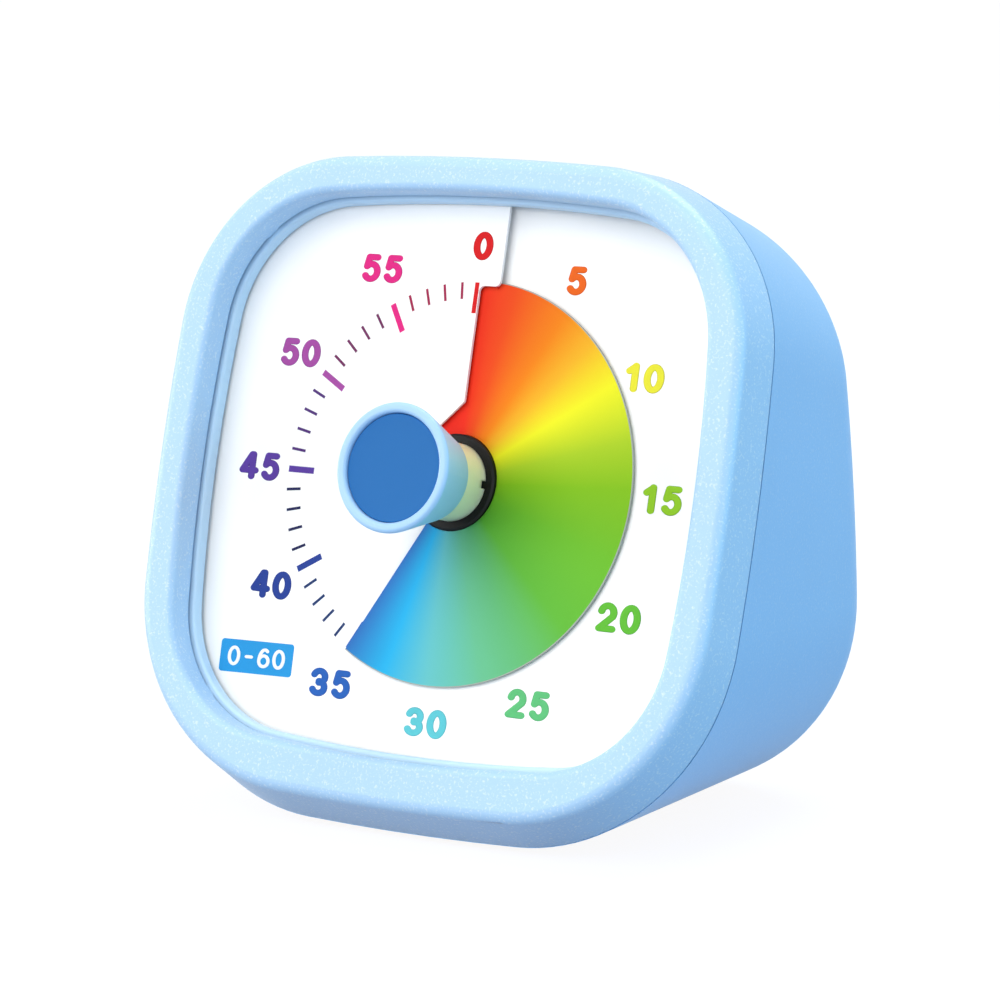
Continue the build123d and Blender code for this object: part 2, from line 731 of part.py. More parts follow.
def make_centre_arbor():
    body = disc_at(arbor_radius, arbor_back, arbor_top)
    body = chamfer(body.faces().sort_by(Axis.Z)[-1].edges(), 0.3)
    body += disc_at(arbor_pivot_radius, arbor_back - pivot_length, arbor_back)
    body += disc_at(collar_radius, collar_front - collar_thickness, collar_front)
    low = clip_level
    return body - (disc_at(2 * arbor_radius, low, low + clip_thickness)
                   - disc_at(arbor_radius - clip_groove_depth, low, low + clip_thickness))


clip_level = plate_back - base_thickness - 0.15 - clip_thickness


def make_retaining_clip():
    low, high = clip_level + 0.02, clip_level + clip_thickness - 0.02
    bore = arbor_radius - clip_groove_depth + running_gap
    body = disc_at(clip_radius, low, high) - disc_at(bore, low, high)
    return body - block(-clip_mouth / 2, clip_mouth / 2, 0, 2 * clip_radius, low - 1, high + 1)


def make_clutch_spring():
    """A dished washer that presses the centre wheel against the arbor's collar."""
    hub_front = wheel_level(0) + wheel_thickness + wheel_hub_front
    inner, outer = arbor_radius + 0.15, clutch_radius
    profile = Polyline((inner, clip_level - clutch_thickness), (outer, hub_front),
                       (outer, hub_front + clutch_thickness), (inner, clip_level), close=True)
    return revolve(Plane.XZ * make_face(profile), Axis.Z)


def make_centre_bush():
    low, high = plate_back - base_thickness, -plate_top - 0.05
    body = disc_at(bush_radius, low, high)
    return body - disc_at(arbor_radius + running_gap, low, high)


cam_radius = 2.9
cam_thickness = 0.9
cam_notch = (0.7, 1.2)       # depth and width
cam_level = movement_floor + 0.9


def make_zero_cam():
    """Switches the alarm on when the disc reaches zero: a notch passes the contact blade."""
    body = disc_at(cam_radius, cam_level, cam_level + cam_thickness)
    body -= disc_at(arbor_radius + running_gap, cam_level - 1, cam_level + 2)
    deep, wide = cam_notch
    notch = block(cam_radius - deep, cam_radius + 1, -wide / 2, wide / 2, cam_level - 1, cam_level + 2)
    return body - Rot(0, 0, 6 * rest_minutes) * notch


# ---- movement housing, motor and board -----------------------------------------------------
def movement_outline(inset=0.0):
    width = 2 * (movement_left - inset)
    height = movement_top + movement_bottom - 2 * inset
    middle = (movement_top - movement_bottom) / 2
    return at(0, middle, 0) * RectangleRounded(width, height, movement_corner - inset)


def make_movement_base():
    low, high = plate_back - base_thickness, plate_back
    body = slab(movement_outline(), low, high)
    for x, y in lug_points():
        body += disc_at(lug_radius, low, high, x, y) + lug_bridge(x, y, low, high)
    for x, y in lug_points():
        body -= disc_at(screw_radius + screw_gap, low, high, x, y)
    body -= disc_at(bush_radius + running_gap, low, high)
    for x, y in arbors[1:]:
        body -= disc_at(pivot_radius + running_gap, low, low + pivot_length + seat_gap, x, y)
    return body


def lug_bridge(x, y, low, high):
    """Joins a lug to the side of the movement."""
    if x:
        side = 1 if x > 0 else -1
        inner, outer = sorted((side * (movement_left - 1), x))
        return block(inner, outer, y - lug_radius, y + lug_radius, low, high)
    return block(-lug_radius, lug_radius, y, 1 - movement_bottom, low, high)


lead_slot = (3.6, 19.0)        # along Y, in the cover's left wall
lead_slot_height = 2.5
board_post = (1.1, 1.6)        # radius, and distance from the board's edges
core_post = (1.2, 2.0)         # the same for the coil's core


def make_movement_cover():
    top = plate_back - base_thickness
    body = slab(movement_outline(), movement_back, top)
    body -= slab(movement_outline(cover_wall), movement_floor, top)
    for x, y in lug_points():
        body += disc_at(lug_radius, top - base_thickness, top, x, y) + (
            lug_bridge(x, y, top - base_thickness, top) - slab(movement_outline(cover_wall), -big, 0))
    for x, y in lug_points():
        body -= disc_at(screw_radius + screw_gap, top - base_thickness, top, x, y)
    for x, y in arbors[1:]:
        body -= disc_at(pivot_radius + running_gap, movement_floor - pivot_length - seat_gap, 0, x, y)
    body -= disc_at(arbor_pivot_radius + running_gap, movement_floor - pivot_length - seat_gap, 0)
    radius, inset = board_post
    for x, y in ((board_left + inset, board_low + inset), (board_right - inset, board_high - inset),
                 (board_left + inset, board_high - inset)):
        body += disc_at(radius, movement_floor - seat_gap, board_back, x, y)
    radius, inset = core_post
    for x in (coil_left + inset, coil_right - inset):
        body += disc_at(radius, movement_floor - seat_gap, stator_level - stator_thickness, x, coil_y)
    body -= block(-2 * movement_left, 1 - movement_left + cover_wall, lead_slot[0], lead_slot[1],
                  board_front - seat_gap, board_front + lead_slot_height)
    return body


board_left, board_right = 0.8 + cover_wall - movement_left, -9.8
board_low, board_high = -6.0, 18.5
board_thickness = 0.8
board_back = movement_floor + 1.0
board_front = board_back + board_thickness


def make_circuit_board():
    return block(board_left, board_right, board_low, board_high, board_back, board_front)


def make_timer_chip():
    """Chip under a drop of black resin."""
    middle = (board_left + board_right) / 2
    ball = 4.2
    body = at(middle, 0.5, board_front - ball + 1.3) * Sphere(ball)
    return body & block(board_left, board_right, -6, 8, board_front, board_front + 3)


def make_crystal():
    """Watch crystal: a small can lying on the board, with two wires."""
    x = (board_left + board_right) / 2
    can = at(x, 12.0, board_front + 1.0) * Rot(90, 0, 0) * Cylinder(1.0, 6.0)
    for side in (-1, 1):
        can += block(x + side * 0.45 - 0.12, x + side * 0.45 + 0.12, 6.8, 9.2, board_front + 0.88,
                     board_front + 1.12)
        can += block(x + side * 0.45 - 0.12, x + side * 0.45 + 0.12, 6.8, 7.04, board_front,
                     board_front + 1.12)
    return can


coil_left, coil_right = -14.0, 20.4
coil_y = -12.0
coil_flange = 2.75
coil_core_half = 1.7
leg_width = 4.0


def make_stator():
    x, y = arbors[4]
    low, high = stator_level, stator_level + stator_thickness
    body = block(coil_left, coil_right, -8.3, -4.3, low, high)
    body += block(coil_left, coil_left + leg_width, coil_y - coil_core_half, -4.3, low, high)
    body += block(coil_right - leg_width, coil_right, coil_y - coil_core_half, -4.3, low, high)
    body += disc_at(magnet_radius + stator_bore_gap + 1.6, low, high, x, y)
    body += block(x - 3.4, x + 3.4, -8.3, y, low, high)
    return body - disc_at(magnet_radius + stator_bore_gap, low, high, x, y)


def make_coil_core():
    return block(coil_left, coil_right, coil_y - coil_core_half, coil_y + coil_core_half,
                 stator_level - stator_thickness, stator_level)


def along_x(radius, x0, x1):
    middle = stator_level - stator_thickness / 2
    return at(x0, coil_y, middle) * Rot(0, 90, 0) * Cylinder(
        radius, x1 - x0, align=(Align.CENTER, Align.CENTER, Align.MIN))


def make_coil_bobbin():
    x0, x1 = coil_left + leg_width + 0.4, coil_right - leg_width - 0.4
    body = along_x(2.1, x0, x1) + along_x(coil_flange, x0, x0 + 0.6) + along_x(coil_flange, x1 - 0.6, x1)
    middle = stator_level - stator_thickness / 2
    hole = stator_thickness / 2 + running_gap
    return body - block(x0 - 1, x1 + 1, coil_y - coil_core_half - running_gap,
                        coil_y + coil_core_half + running_gap, middle - hole, middle + hole)


def make_coil_winding():
    x0, x1 = coil_left + leg_width + 1.05, coil_right - leg_width - 1.05
    return along_x(coil_flange - 0.1, x0, x1) - along_x(2.1 + running_gap, x0, x1)


def make_contact_blade():
    """Springy blade from the board to the zero cam."""
    y0, y1 = -3.2, -2.0
    body = block(board_right - 2.5, 0.4 - cam_radius, y0, y1, board_front, board_front + 0.25)
    return body


# ---- battery, switch and buzzer ------------------------------------------------------------
cell_centre = wall + tray_gap + cell_radius            # in from the rear face
nub_end = tray_length / 2 - contact_thickness - 0.05


def along_tray(radius, x0, x1):
    return rear * at(x0, tray_centre, cell_centre) * Rot(0, 90, 0) * Cylinder(
        radius, x1 - x0, align=(Align.CENTER, Align.CENTER, Align.MIN))


def make_battery_cell():
    can = along_tray(cell_radius, nub_end - cell_length, nub_end - nub_length)
    can = fillet(can.edges().filter_by(GeomType.CIRCLE), 0.6)
    return can + along_tray(nub_radius, nub_end - nub_length - 0.1, nub_end)


def contact(side):
    """A plate against one end of the tray, with a solder tab through the tray's floor."""
    outer = side * (tray_length / 2 - 0.02)
    x0, x1 = sorted((outer, outer - side * (contact_thickness - 0.04)))
    half = tray_half_height - 1.2
    body = rear_block(x0, x1, tray_centre - half, tray_centre + half, wall + 1.0, tray_floor - 0.3)
    return body + rear_block(x0, x1, tray_centre - 1.8, tray_centre + 1.8, tray_floor - 0.4,
                             tray_floor + tray_wall + contact_tab)


def make_plate_contact():
    return contact(1)


def make_spring_contact():
    """Plate with a coil spring that presses the cell towards the other contact."""
    start = -tray_length / 2 + contact_thickness - 0.05
    wire = 0.4
    length = nub_end - cell_length - start - wire - 0.05
    coil = Edge.make_helix(length / 4, length, 3.6)
    profile = Plane(origin=coil @ 0, x_dir=(0, 0, 1), z_dir=coil % 0) * Circle(wire)
    body = sweep(profile, path=coil, is_frenet=True)
    return contact(-1) + rear * at(start, tray_centre, cell_centre) * Rot(0, 90, 0) * body


def make_switch_body():
    width, height, depth = switch_can
    seat = wall + switch_post
    body = rear_block(-width / 2, width / 2, switch_centre - height / 2, switch_centre + height / 2,
                      seat, seat + depth)
    ear, half = switch_ear + switch_post_radius, switch_ear_half_width
    body += rear_block(-ear, ear, switch_centre - half, switch_centre + half,
                       seat, seat + switch_ear_thickness)
    run = switch_travel + switch_button_width / 2 + screw_gap
    body -= rear_block(-run, run, switch_centre - 1.8, switch_centre + 1.8, seat - 0.1, seat + 2.2)
    for side in (-1, 1):
        body -= rear * at(side * switch_ear, switch_centre, seat) * Cylinder(switch_pilot_radius, 3)
    return body


def make_switch_slider():
    half = switch_button_width / 2
    high = switch_button_height / 2
    body = rear_block(-half, half, switch_centre - high, switch_centre + high,
                      -switch_button_proud, wall + switch_post + 2.0)
    wide, deep = switch_groove
    for i in range(3):
        groove = grip_pitch * (i - 1)
        body -= rear_block(groove - wide / 2, groove + wide / 2, switch_centre - 3, switch_centre + 3,
                           -2 * switch_button_proud, deep - switch_button_proud)
    return body


def make_switch_screws():
    seat = wall + switch_post + switch_ear_thickness
    screws = []
    for side in (-1, 1):
        pin = Cylinder(0.7, 2.4, align=(Align.CENTER, Align.CENTER, Align.MAX))
        head = Cylinder(1.2, 0.8, align=(Align.CENTER, Align.CENTER, Align.MIN))
        screws.append(rear * at(side * switch_ear, switch_centre, seat) * (pin + head))
    return Compound(screws)


def make_buzzer():
    align = (Align.CENTER, Align.CENTER, Align.MIN)
    body = Cylinder(buzzer_radius, buzzer_height, align=align)
    body = fillet(body.faces().sort_by(Axis.Z)[-1].edges(), 0.4)
    body -= Cylinder(1.0, 1.0, align=align)
    return rear * at(0, buzzer_centre, wall + running_gap) * body


def lead(points):
    """An insulated lead along straight runs, its turns as round as the shortest run allows."""
    runs = [Vector(*b) - Vector(*a) for a, b in zip(points, points[1:])]
    bend = min(lead_bend, min(run.length for run in runs) / 2)
    path = FilletPolyline(*points, radius=bend)
    section = Plane(origin=path @ 0, z_dir=path % 0) * Circle(lead_radius)
    return sweep(section, path=path)


def rear_point(u, v, w):
    p = rear.origin + rear.x_dir * u + rear.y_dir * v + rear.z_dir * w
    return (p.X, p.Y, p.Z)


lead_level = board_front + lead_radius + seat_gap
board_edge = board_left + 0.5


def make_battery_leads():
    """From the tabs of the two battery contacts, round the movement, to the board."""
    tab = tray_length / 2 - contact_thickness / 2
    foot = tray_floor + tray_wall + contact_tab
    behind = movement_back - 1.2
    leads = []
    for side, level in ((-1, 8.6), (1, 11.0)):
        points = [rear_point(side * tab, tray_centre, foot),
                  rear_point(side * tab, tray_centre, foot + lead_rise), (side * 27.0, 5.0, -16.5)]
        if side > 0:
            points += [(25.0, level, behind), (-23.8, level, behind)]
        points += [(-25.4, level, lead_level), (board_edge, level, lead_level)]
        leads.append(lead(points))
    return Compound(leads)


def make_buzzer_leads():
    leads = []
    for offset in (0.0, 2.0):
        start = rear_point(-2.0 - offset, buzzer_centre - 2.0, wall + buzzer_height + running_gap)
        leave = rear_point(-2.0 - offset, buzzer_centre - 2.0, wall + buzzer_height + lead_rise)
        leads.append(lead([start, leave, (-12.0, 20.0 - offset, -20.5), (-23.6, 17.4 - offset, -19.0),
                           (-25.4, 17.2 - offset, lead_level), (board_edge, 17.2 - offset, lead_level)]))
    return Compound(leads)


def make_switch_leads():
    """From the sound switch, in front of the battery tray, to the board."""
    can_front = wall + switch_post + switch_can[2]
    leads = []
    for x, outer, level in ((-3.4, -25.4, 6.7), (-1.9, -24.0, 4.8)):
        start = rear_point(x, switch_centre, can_front)
        leave = rear_point(x, switch_centre, can_front + lead_rise)
        leads.append(lead([start, leave, (outer + 5.0, -15.0, -25.0), (outer, -6.0, -17.5),
                           (outer, level, lead_level), (board_edge, level, lead_level)]))
    return Compound(leads)


def make_feet():
    align = (Align.CENTER, Align.CENTER, Align.MIN)
    feet = []
    for x, y in foot_places:
        foot = Cylinder(foot_radius, foot_thickness - seat_gap / 2, align=align)
        foot = fillet(foot.faces().sort_by(Axis.Z)[0].edges(), 0.25)
        feet.append(base * at(x, y, 0) * foot)
    return Compound(feet)


# ---- screws --------------------------------------------------------------------------------
def make_case_screws():
    seat = -case_post_front - screw_seat
    return Compound([screw(x, y, seat, -plate_top - 0.7) for x, y in case_points()])


def make_frame_screws():
    seat = plate_back + frame_screw_head_height
    return Compound([screw(x, y, seat, frame_screw_tip, frame_screw_radius,
                           frame_screw_head_radius, frame_screw_head_height)
                     for x, y in screw_points()])


def make_movement_screws():
    seat = plate_back - 2 * base_thickness
    return Compound([screw(x, y, seat, -plate_top - 0.6) for x, y in lug_points()])


# ---- hand over -----------------------------------------------------------------------------
pieces = {
    "front_bezel": make_front_bezel(),
    "rear_shell": make_rear_shell(),
    "battery_door": make_battery_door(),
    "rubber_feet": make_feet(),
    "case_screws": make_case_screws(),
    "dial_frame": make_dial_frame(),
    "dial_sheet": make_dial_sheet(),
    "dial_plate": make_dial_plate(),
    "frame_screws": make_frame_screws(),
    "disc_film": make_disc_film(),
    "disc_carrier": make_disc_carrier(),
    "hub_sleeve": make_hub_sleeve(),
    "knob": make_knob(),
    "knob_cap": make_knob_cap(),
    "centre_arbor": make_centre_arbor(),
    "centre_bush": make_centre_bush(),
    "centre_wheel": make_centre_wheel(),
    "clutch_spring": make_clutch_spring(),
    "retaining_clip": make_retaining_clip(),
    "zero_cam": make_zero_cam(),
    "contact_blade": make_contact_blade(),
    "third_wheel": make_train_wheel(1),
    "fourth_wheel": make_train_wheel(2),
    "fifth_wheel": make_train_wheel(3),
    "rotor_pinion": make_rotor_pinion(),
    "rotor_magnet": make_rotor_magnet(),
    "stator": make_stator(),
    "coil_core": make_coil_core(),
    "coil_bobbin": make_coil_bobbin(),
    "coil_winding": make_coil_winding(),
    "movement_base": make_movement_base(),
    "movement_cover": make_movement_cover(),
    "movement_screws": make_movement_screws(),
    "circuit_board": make_circuit_board(),
    "timer_chip": make_timer_chip(),
    "crystal": make_crystal(),
    "battery_cell": make_battery_cell(),
    "spring_contact": make_spring_contact(),
    "plate_contact": make_plate_contact(),
    "battery_leads": make_battery_leads(),
    "buzzer": make_buzzer(),
    "buzzer_leads": make_buzzer_leads(),
    "switch_leads": make_switch_leads(),
    "switch_body": make_switch_body(),
    "switch_slider": make_switch_slider(),
    "switch_screws": make_switch_screws(),
}

# stand the timer on the table, with the middle of its footprint at the origin
standing = {name: base.location.inverse() * shape for name, shape in pieces.items()}
boxes = [shape.bounding_box() for shape in standing.values()]
middle = (min(b.min.Y for b in boxes) + max(b.max.Y for b in boxes)) / 2
os.makedirs("parts", exist_ok=True)
for name, shape in standing.items():
    export_step(at(0, -middle, 0) * shape, f"parts/{name}.step")
print("dial centre is at Y", round(-middle, 4), "Z", dial_height)
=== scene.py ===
import bpy
import json
from math import cos, degrees, pi, radians, sin, sqrt
from mathutils import Euler, Matrix, Vector


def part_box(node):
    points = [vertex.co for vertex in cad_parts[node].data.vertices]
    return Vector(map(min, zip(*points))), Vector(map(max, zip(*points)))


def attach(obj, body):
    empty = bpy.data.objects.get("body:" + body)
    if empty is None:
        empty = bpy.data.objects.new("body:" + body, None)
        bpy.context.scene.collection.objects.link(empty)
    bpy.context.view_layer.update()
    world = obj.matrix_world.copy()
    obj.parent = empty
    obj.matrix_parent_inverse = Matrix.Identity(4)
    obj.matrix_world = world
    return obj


# Sixty-minute visual countdown timer. The dial is drawn in the face frame: X to the viewer's right,
# Y up the dial, Z out of it, from the dial's centre. Sizes are in millimetres and become metres
# where a mesh or a material is made. Places round the dial are in its minutes, clockwise from the
# top.

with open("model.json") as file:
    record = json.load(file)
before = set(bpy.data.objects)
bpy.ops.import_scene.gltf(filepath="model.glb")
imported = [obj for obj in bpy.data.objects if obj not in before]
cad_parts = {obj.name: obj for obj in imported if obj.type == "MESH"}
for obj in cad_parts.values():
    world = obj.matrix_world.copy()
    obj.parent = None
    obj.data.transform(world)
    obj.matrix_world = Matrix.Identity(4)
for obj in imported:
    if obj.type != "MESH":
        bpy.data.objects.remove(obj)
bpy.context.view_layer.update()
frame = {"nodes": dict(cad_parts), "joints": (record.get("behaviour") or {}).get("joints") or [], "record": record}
bpy.ops.object.select_all(action="DESELECT")
mm = 0.001

# ---- sizes ---------------------------------------------------------------------------------
minute_turn = 6              # degrees of the dial in a minute
sheet_top = 0.2              # printed side above the middle of the sheet
flap_minutes = 1.0           # the upper flap lies over the start of the dial
flap_low = 24.45             # lowest point of the flap
edge_shadow_width = 0.13             # width of the grey band painted round the film's cut edge: a painted shadow line

ink = 0.012                  # height of the printing
print_drop = 0.13            # the printing sits this much low on the sheet

numeral_radius = 29.5
numeral_height = 3.6
numeral_width = 2.93
numeral_pitch = 3.28
narrow_pitch = 2.88          # beside a 1
stroke = 0.84                # of the level strokes
widening = 1.25              # the upright strokes are this many times as wide

tick_inner, tick_outer, tick_width = 22.9, 25.0, 0.36
bold_inner, bold_outer, bold_width = 21.1, 24.95, 0.8
zero_width, zero_right = 0.62, -0.4       # the zero mark stands beside the slit

tag_text = "0-60"
tag_width, tag_height, tag_corner = 11.2, 4.15, 0.45
tag_x, tag_y, tag_turn = -26.05, -24.1, 1.1       # of its middle, and its turn in degrees
tag_size = 0.76              # its characters are this share of a numeral
tag_stroke, tag_pitch = 0.42, 2.3

# ---- what the frame gives ------------------------------------------------------------------
turn = next(joint for joint in frame["joints"] if joint["name"] == "knob_turn")
lift = next(pair for pair in frame["record"]["behaviour"]["couplings"]
            if pair["joint"] == "disc_lift")
ramp = 2 * pi * lift["ratio"] / mm        # rise of the dial sheet over one turn
disc_minutes = -turn["range_deg"][0] / minute_turn        # the disc's leading edge rests here
film_low, film_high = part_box("disc_film")
film_radius = (film_high.x - film_low.x) / 2 / mm

centre = Vector(turn["pos_m"])
out = -Vector(turn["axis"])
across = Vector((1, 0, 0))
face = Matrix((across, out.cross(across), out)).transposed().to_4x4()
face.translation = centre


# ---- materials -----------------------------------------------------------------------------
drift_width = 18             # spacing of the faint drift in a moulding's shade
tarnish_width = 6            # spacing of the dull patches on metal
glint_width = 0.32           # spacing of the painted glints, pale dots on spark-eroded plastic
glint_start, glint_full = 0.56, 0.74      # noise at which such a painted glint starts, and is whole
scatter = 2                  # how far light wanders inside a clear plastic

wheel_colours = {            # of the disc, by the minute that each rests on; below 0, under the dial
    35: "#2F6DB8", 32.5: "#22B2E6", 30: "#66C3C5", 27: "#68BF90", 25: "#63BA78", 22: "#61B738",
    18: "#6CBA2A", 14.6: "#84C018", 12.3: "#ADD024", 9.5: "#F0EE20", 7.1: "#F2B321", 5: "#F08208",
    2: "#EA4A0E", 0: "#EC2A12", -4: "#E82016", -8: "#DE1F7E", -10: "#A0479A", -15: "#553696",
    -20: "#1E3A8C", -25: "#1F5BAE"}
scale_colours = {0: "#D20610", 5: "#E5600A", 10: "#E6E032", 15: "#8CC21F", 20: "#5DB531",
                 25: "#5BB974", 30: "#5BC1CB", 35: "#1F5BAE", 40: "#1E3A8C", 45: "#553696",
                 50: "#A0479A", 55: "#DE1F7E"}
dark_colours = {35: "#1A3566", 40: "#161C4C", 45: "#4C2870", 50: "#6C2356", 55: "#9C1C48"}


def linear(hex_colour):
    """An sRGB hex colour as the linear colour that a shader takes."""
    parts = [int(hex_colour[i:i + 2], 16) / 255 for i in (1, 3, 5)]
    return [c / 12.92 if c <= 0.04045 else ((c + 0.055) / 1.055) ** 2.4 for c in parts] + [1.0]


def duller(colour, share):
    """A linear colour with a share of its light taken away."""
    return [c * (1 - share) for c in colour[:3]] + [1.0]


def feed(tree, made, inputs):
    """Sets a node's inputs: each takes a value, or the socket that feeds it."""
    for name, value in inputs.items():
        if isinstance(value, bpy.types.NodeSocket):
            tree.links.new(value, made.inputs[name])
        else:
            made.inputs[name].default_value = value


def node(tree, kind, inputs, **settings):
    """Adds a node with its settings and its links. A Mix node of colours takes its amount at input
    0 and its two colours at inputs 6 and 7, and gives the mixed colour at output 2."""
    made = tree.nodes.new("ShaderNode" + kind)
    for name, value in settings.items():
        setattr(made, name, value)
    feed(tree, made, inputs)
    return made


def blank(name):
    """A new material with its tree, its shader and the piece's own coordinates."""
    made = bpy.data.materials.new(name)
    made.use_nodes = True
    tree = made.node_tree
    place = node(tree, "TexCoord", {}).outputs["Object"]
    return made, tree, tree.nodes["Principled BSDF"], place


def set_stops(ramp_node, stops):
    """Gives a colour ramp its stops, from (place, hex colour) pairs."""
    elements = ramp_node.color_ramp.elements
    while len(elements) < len(stops):
        elements.new(0.5)
    for element, (at, colour) in zip(elements, stops):
        element.position = at
        element.color = linear(colour)


def plastic(name, colour, roughness, grain, depth, drift=0.04, ior=1.53, clear=0.0, gloss=0.5,
            painted_glints=0.0):
    """A moulded plastic. The tool leaves pits of one width and depth, and the shade drifts a little over the part.
    On spark-eroded plastic it has painted glints: pale dots mixed into the colour where the grain's peaks would
    catch the light, drawn coarser than they are, so that they show."""
    made, tree, shader, place = blank(name)
    shade = linear(colour)
    pits = node(tree, "TexNoise", {"Vector": place, "Scale": 1 / (grain * mm), "Detail": 2.0,
                                   "Roughness": 0.6})
    flow = node(tree, "TexNoise", {"Vector": place, "Scale": 1 / (drift_width * mm),
                                   "Detail": 3.0})
    tint = node(tree, "Mix", {0: flow.outputs["Fac"], 6: duller(shade, drift), 7: shade},
                data_type="RGBA")
    wear = node(tree, "MapRange", {"Value": pits.outputs["Fac"], "To Min": roughness - 0.06,
                                   "To Max": roughness + 0.08})
    bump = node(tree, "Bump", {"Height": pits.outputs["Fac"], "Distance": depth * mm,
                               "Strength": 0.8})
    # painted highlight: near-white dots mixed into the base colour as glints
    if painted_glints:
        dots = node(tree, "TexNoise", {"Vector": place, "Scale": 1 / (glint_width * mm),
                                       "Detail": 1.0})
        glint_mask = node(tree, "MapRange", {"Value": dots.outputs["Fac"], "From Min": glint_start,
                                        "From Max": glint_full, "To Max": painted_glints})
        tint = node(tree, "Mix", {0: glint_mask.outputs["Result"], 6: tint.outputs[2],
                                  7: linear("#F4FAFF")}, data_type="RGBA")
    feed(tree, shader, {"Base Color": tint.outputs[2], "Roughness": wear.outputs["Result"],
                        "Normal": bump.outputs["Normal"], "IOR": ior,
                        "Specular IOR Level": gloss, "Subsurface Weight": clear,
                        "Subsurface Radius": (scatter * mm,) * 3, "Subsurface Scale": 1.0})
    return made


def metal(name, colour, roughness, mark, stretch=(1, 1, 1), tarnish=0.12):
    """A bare or plated metal, with tool marks of one width, drawn out along one direction, and
    slightly duller patches."""
    made, tree, shader, place = blank(name)
    shade = linear(colour)
    drawn = node(tree, "Mapping", {"Vector": place, "Scale": stretch})
    marks = node(tree, "TexNoise", {"Vector": drawn.outputs["Vector"], "Scale": 1 / (mark * mm),
                                    "Detail": 3.0})
    patches = node(tree, "TexNoise", {"Vector": place, "Scale": 1 / (tarnish_width * mm),
                                      "Detail": 4.0})
    tint = node(tree, "Mix", {0: patches.outputs["Fac"], 6: duller(shade, tarnish), 7: shade},
                data_type="RGBA")
    rough = node(tree, "MapRange", {"Value": marks.outputs["Fac"], "To Min": roughness - 0.08,
                                    "To Max": roughness + 0.1})
    bump = node(tree, "Bump", {"Height": marks.outputs["Fac"], "Distance": 0.01 * mm,
                               "Strength": 0.5})
    feed(tree, shader, {"Base Color": tint.outputs[2], "Roughness": rough.outputs["Result"],
                        "Normal": bump.outputs["Normal"], "Metallic": 1.0})
    return made


def printed_film():
    """Polyester film printed with a colour wheel on its back: smooth, with a faint gloss, and a grey line painted
    round where it is cut, a painted shadow along its edge. The colours run back from the leading edge as the
    numerals beside them do."""
    made, tree, shader, place = blank("printed_polyester_film")
    wheel_start = face @ Matrix.Rotation(radians(270 - minute_turn * disc_minutes), 4, "Z")
    flat = node(tree, "Mapping", {"Vector": place, "Location": centre, "Scale": (mm, mm, mm),
                                  "Rotation": wheel_start.to_euler()}, vector_type="TEXTURE")
    wheel = node(tree, "TexGradient", {"Vector": flat.outputs["Vector"]}, gradient_type="RADIAL")
    colour = node(tree, "ValToRGB", {"Fac": wheel.outputs["Fac"]})
    set_stops(colour, [((disc_minutes - minute) / 60, shade)
                       for minute, shade in wheel_colours.items()])
    parts = node(tree, "SeparateXYZ", {"Vector": flat.outputs["Vector"]})
    level = node(tree, "CombineXYZ", {"X": parts.outputs["X"], "Y": parts.outputs["Y"]})
    radius = node(tree, "VectorMath", {0: level.outputs["Vector"]}, operation="LENGTH")
    # painted shadow: a grey band round the film's edge
    painted_edge_shadow = node(tree, "Math", {0: radius.outputs["Value"], 1: film_radius - edge_shadow_width},
               operation="GREATER_THAN")
    tint = node(tree, "Mix", {0: painted_edge_shadow.outputs[0], 6: colour.outputs["Color"],
                              7: linear("#A8ADA4")}, data_type="RGBA")
    dots = node(tree, "TexNoise", {"Vector": place, "Scale": 1 / (0.15 * mm), "Detail": 1.0})
    soft = node(tree, "MapRange", {"Value": dots.outputs["Fac"], "To Min": 0.5, "To Max": 0.64})
    waves = node(tree, "TexNoise", {"Vector": place, "Scale": 1 / (9 * mm), "Detail": 1.0})
    bump = node(tree, "Bump", {"Height": waves.outputs["Fac"], "Distance": 0.03 * mm})
    feed(tree, shader, {"Base Color": tint.outputs[2], "Roughness": soft.outputs["Result"],
                        "Normal": bump.outputs["Normal"], "IOR": 1.57,
                        "Specular IOR Level": 0.12})
    return made


def screen_ink(name, colour):
    """Screen-printed ink: an even matt film, a touch thinner over the threads of the screen."""
    made, tree, shader, place = blank(name)
    shade = linear(colour)
    thin = [min(1.0, c * 1.08 + 0.01) for c in shade[:3]] + [1.0]
    threads = node(tree, "TexNoise", {"Vector": place, "Scale": 1 / (0.12 * mm), "Detail": 1.0})
    tint = node(tree, "Mix", {0: threads.outputs["Fac"], 6: shade, 7: thin}, data_type="RGBA")
    rough = node(tree, "MapRange", {"Value": threads.outputs["Fac"], "To Min": 0.42,
                                    "To Max": 0.58})
    feed(tree, shader, {"Base Color": tint.outputs[2], "Roughness": rough.outputs["Result"],
                        "IOR": 1.5, "Specular IOR Level": 0.12})
    return made


def circuit_laminate():
    """Glass-epoxy board under green solder mask, with the copper showing as lighter tracks."""
    made, tree, shader, place = blank("solder_mask_laminate")
    tracks = node(tree, "TexBrick", {"Vector": place, "Color1": linear("#1F6B3A"),
                                     "Color2": linear("#2B7F48"), "Mortar": linear("#155029"),
                                     "Scale": 1 / (2.4 * mm), "Mortar Size": 0.06})
    bump = node(tree, "Bump", {"Height": tracks.outputs["Fac"], "Distance": -0.03 * mm})
    feed(tree, shader, {"Base Color": tracks.outputs["Color"],
                        "Normal": bump.outputs["Normal"], "Roughness": 0.28})
    return made


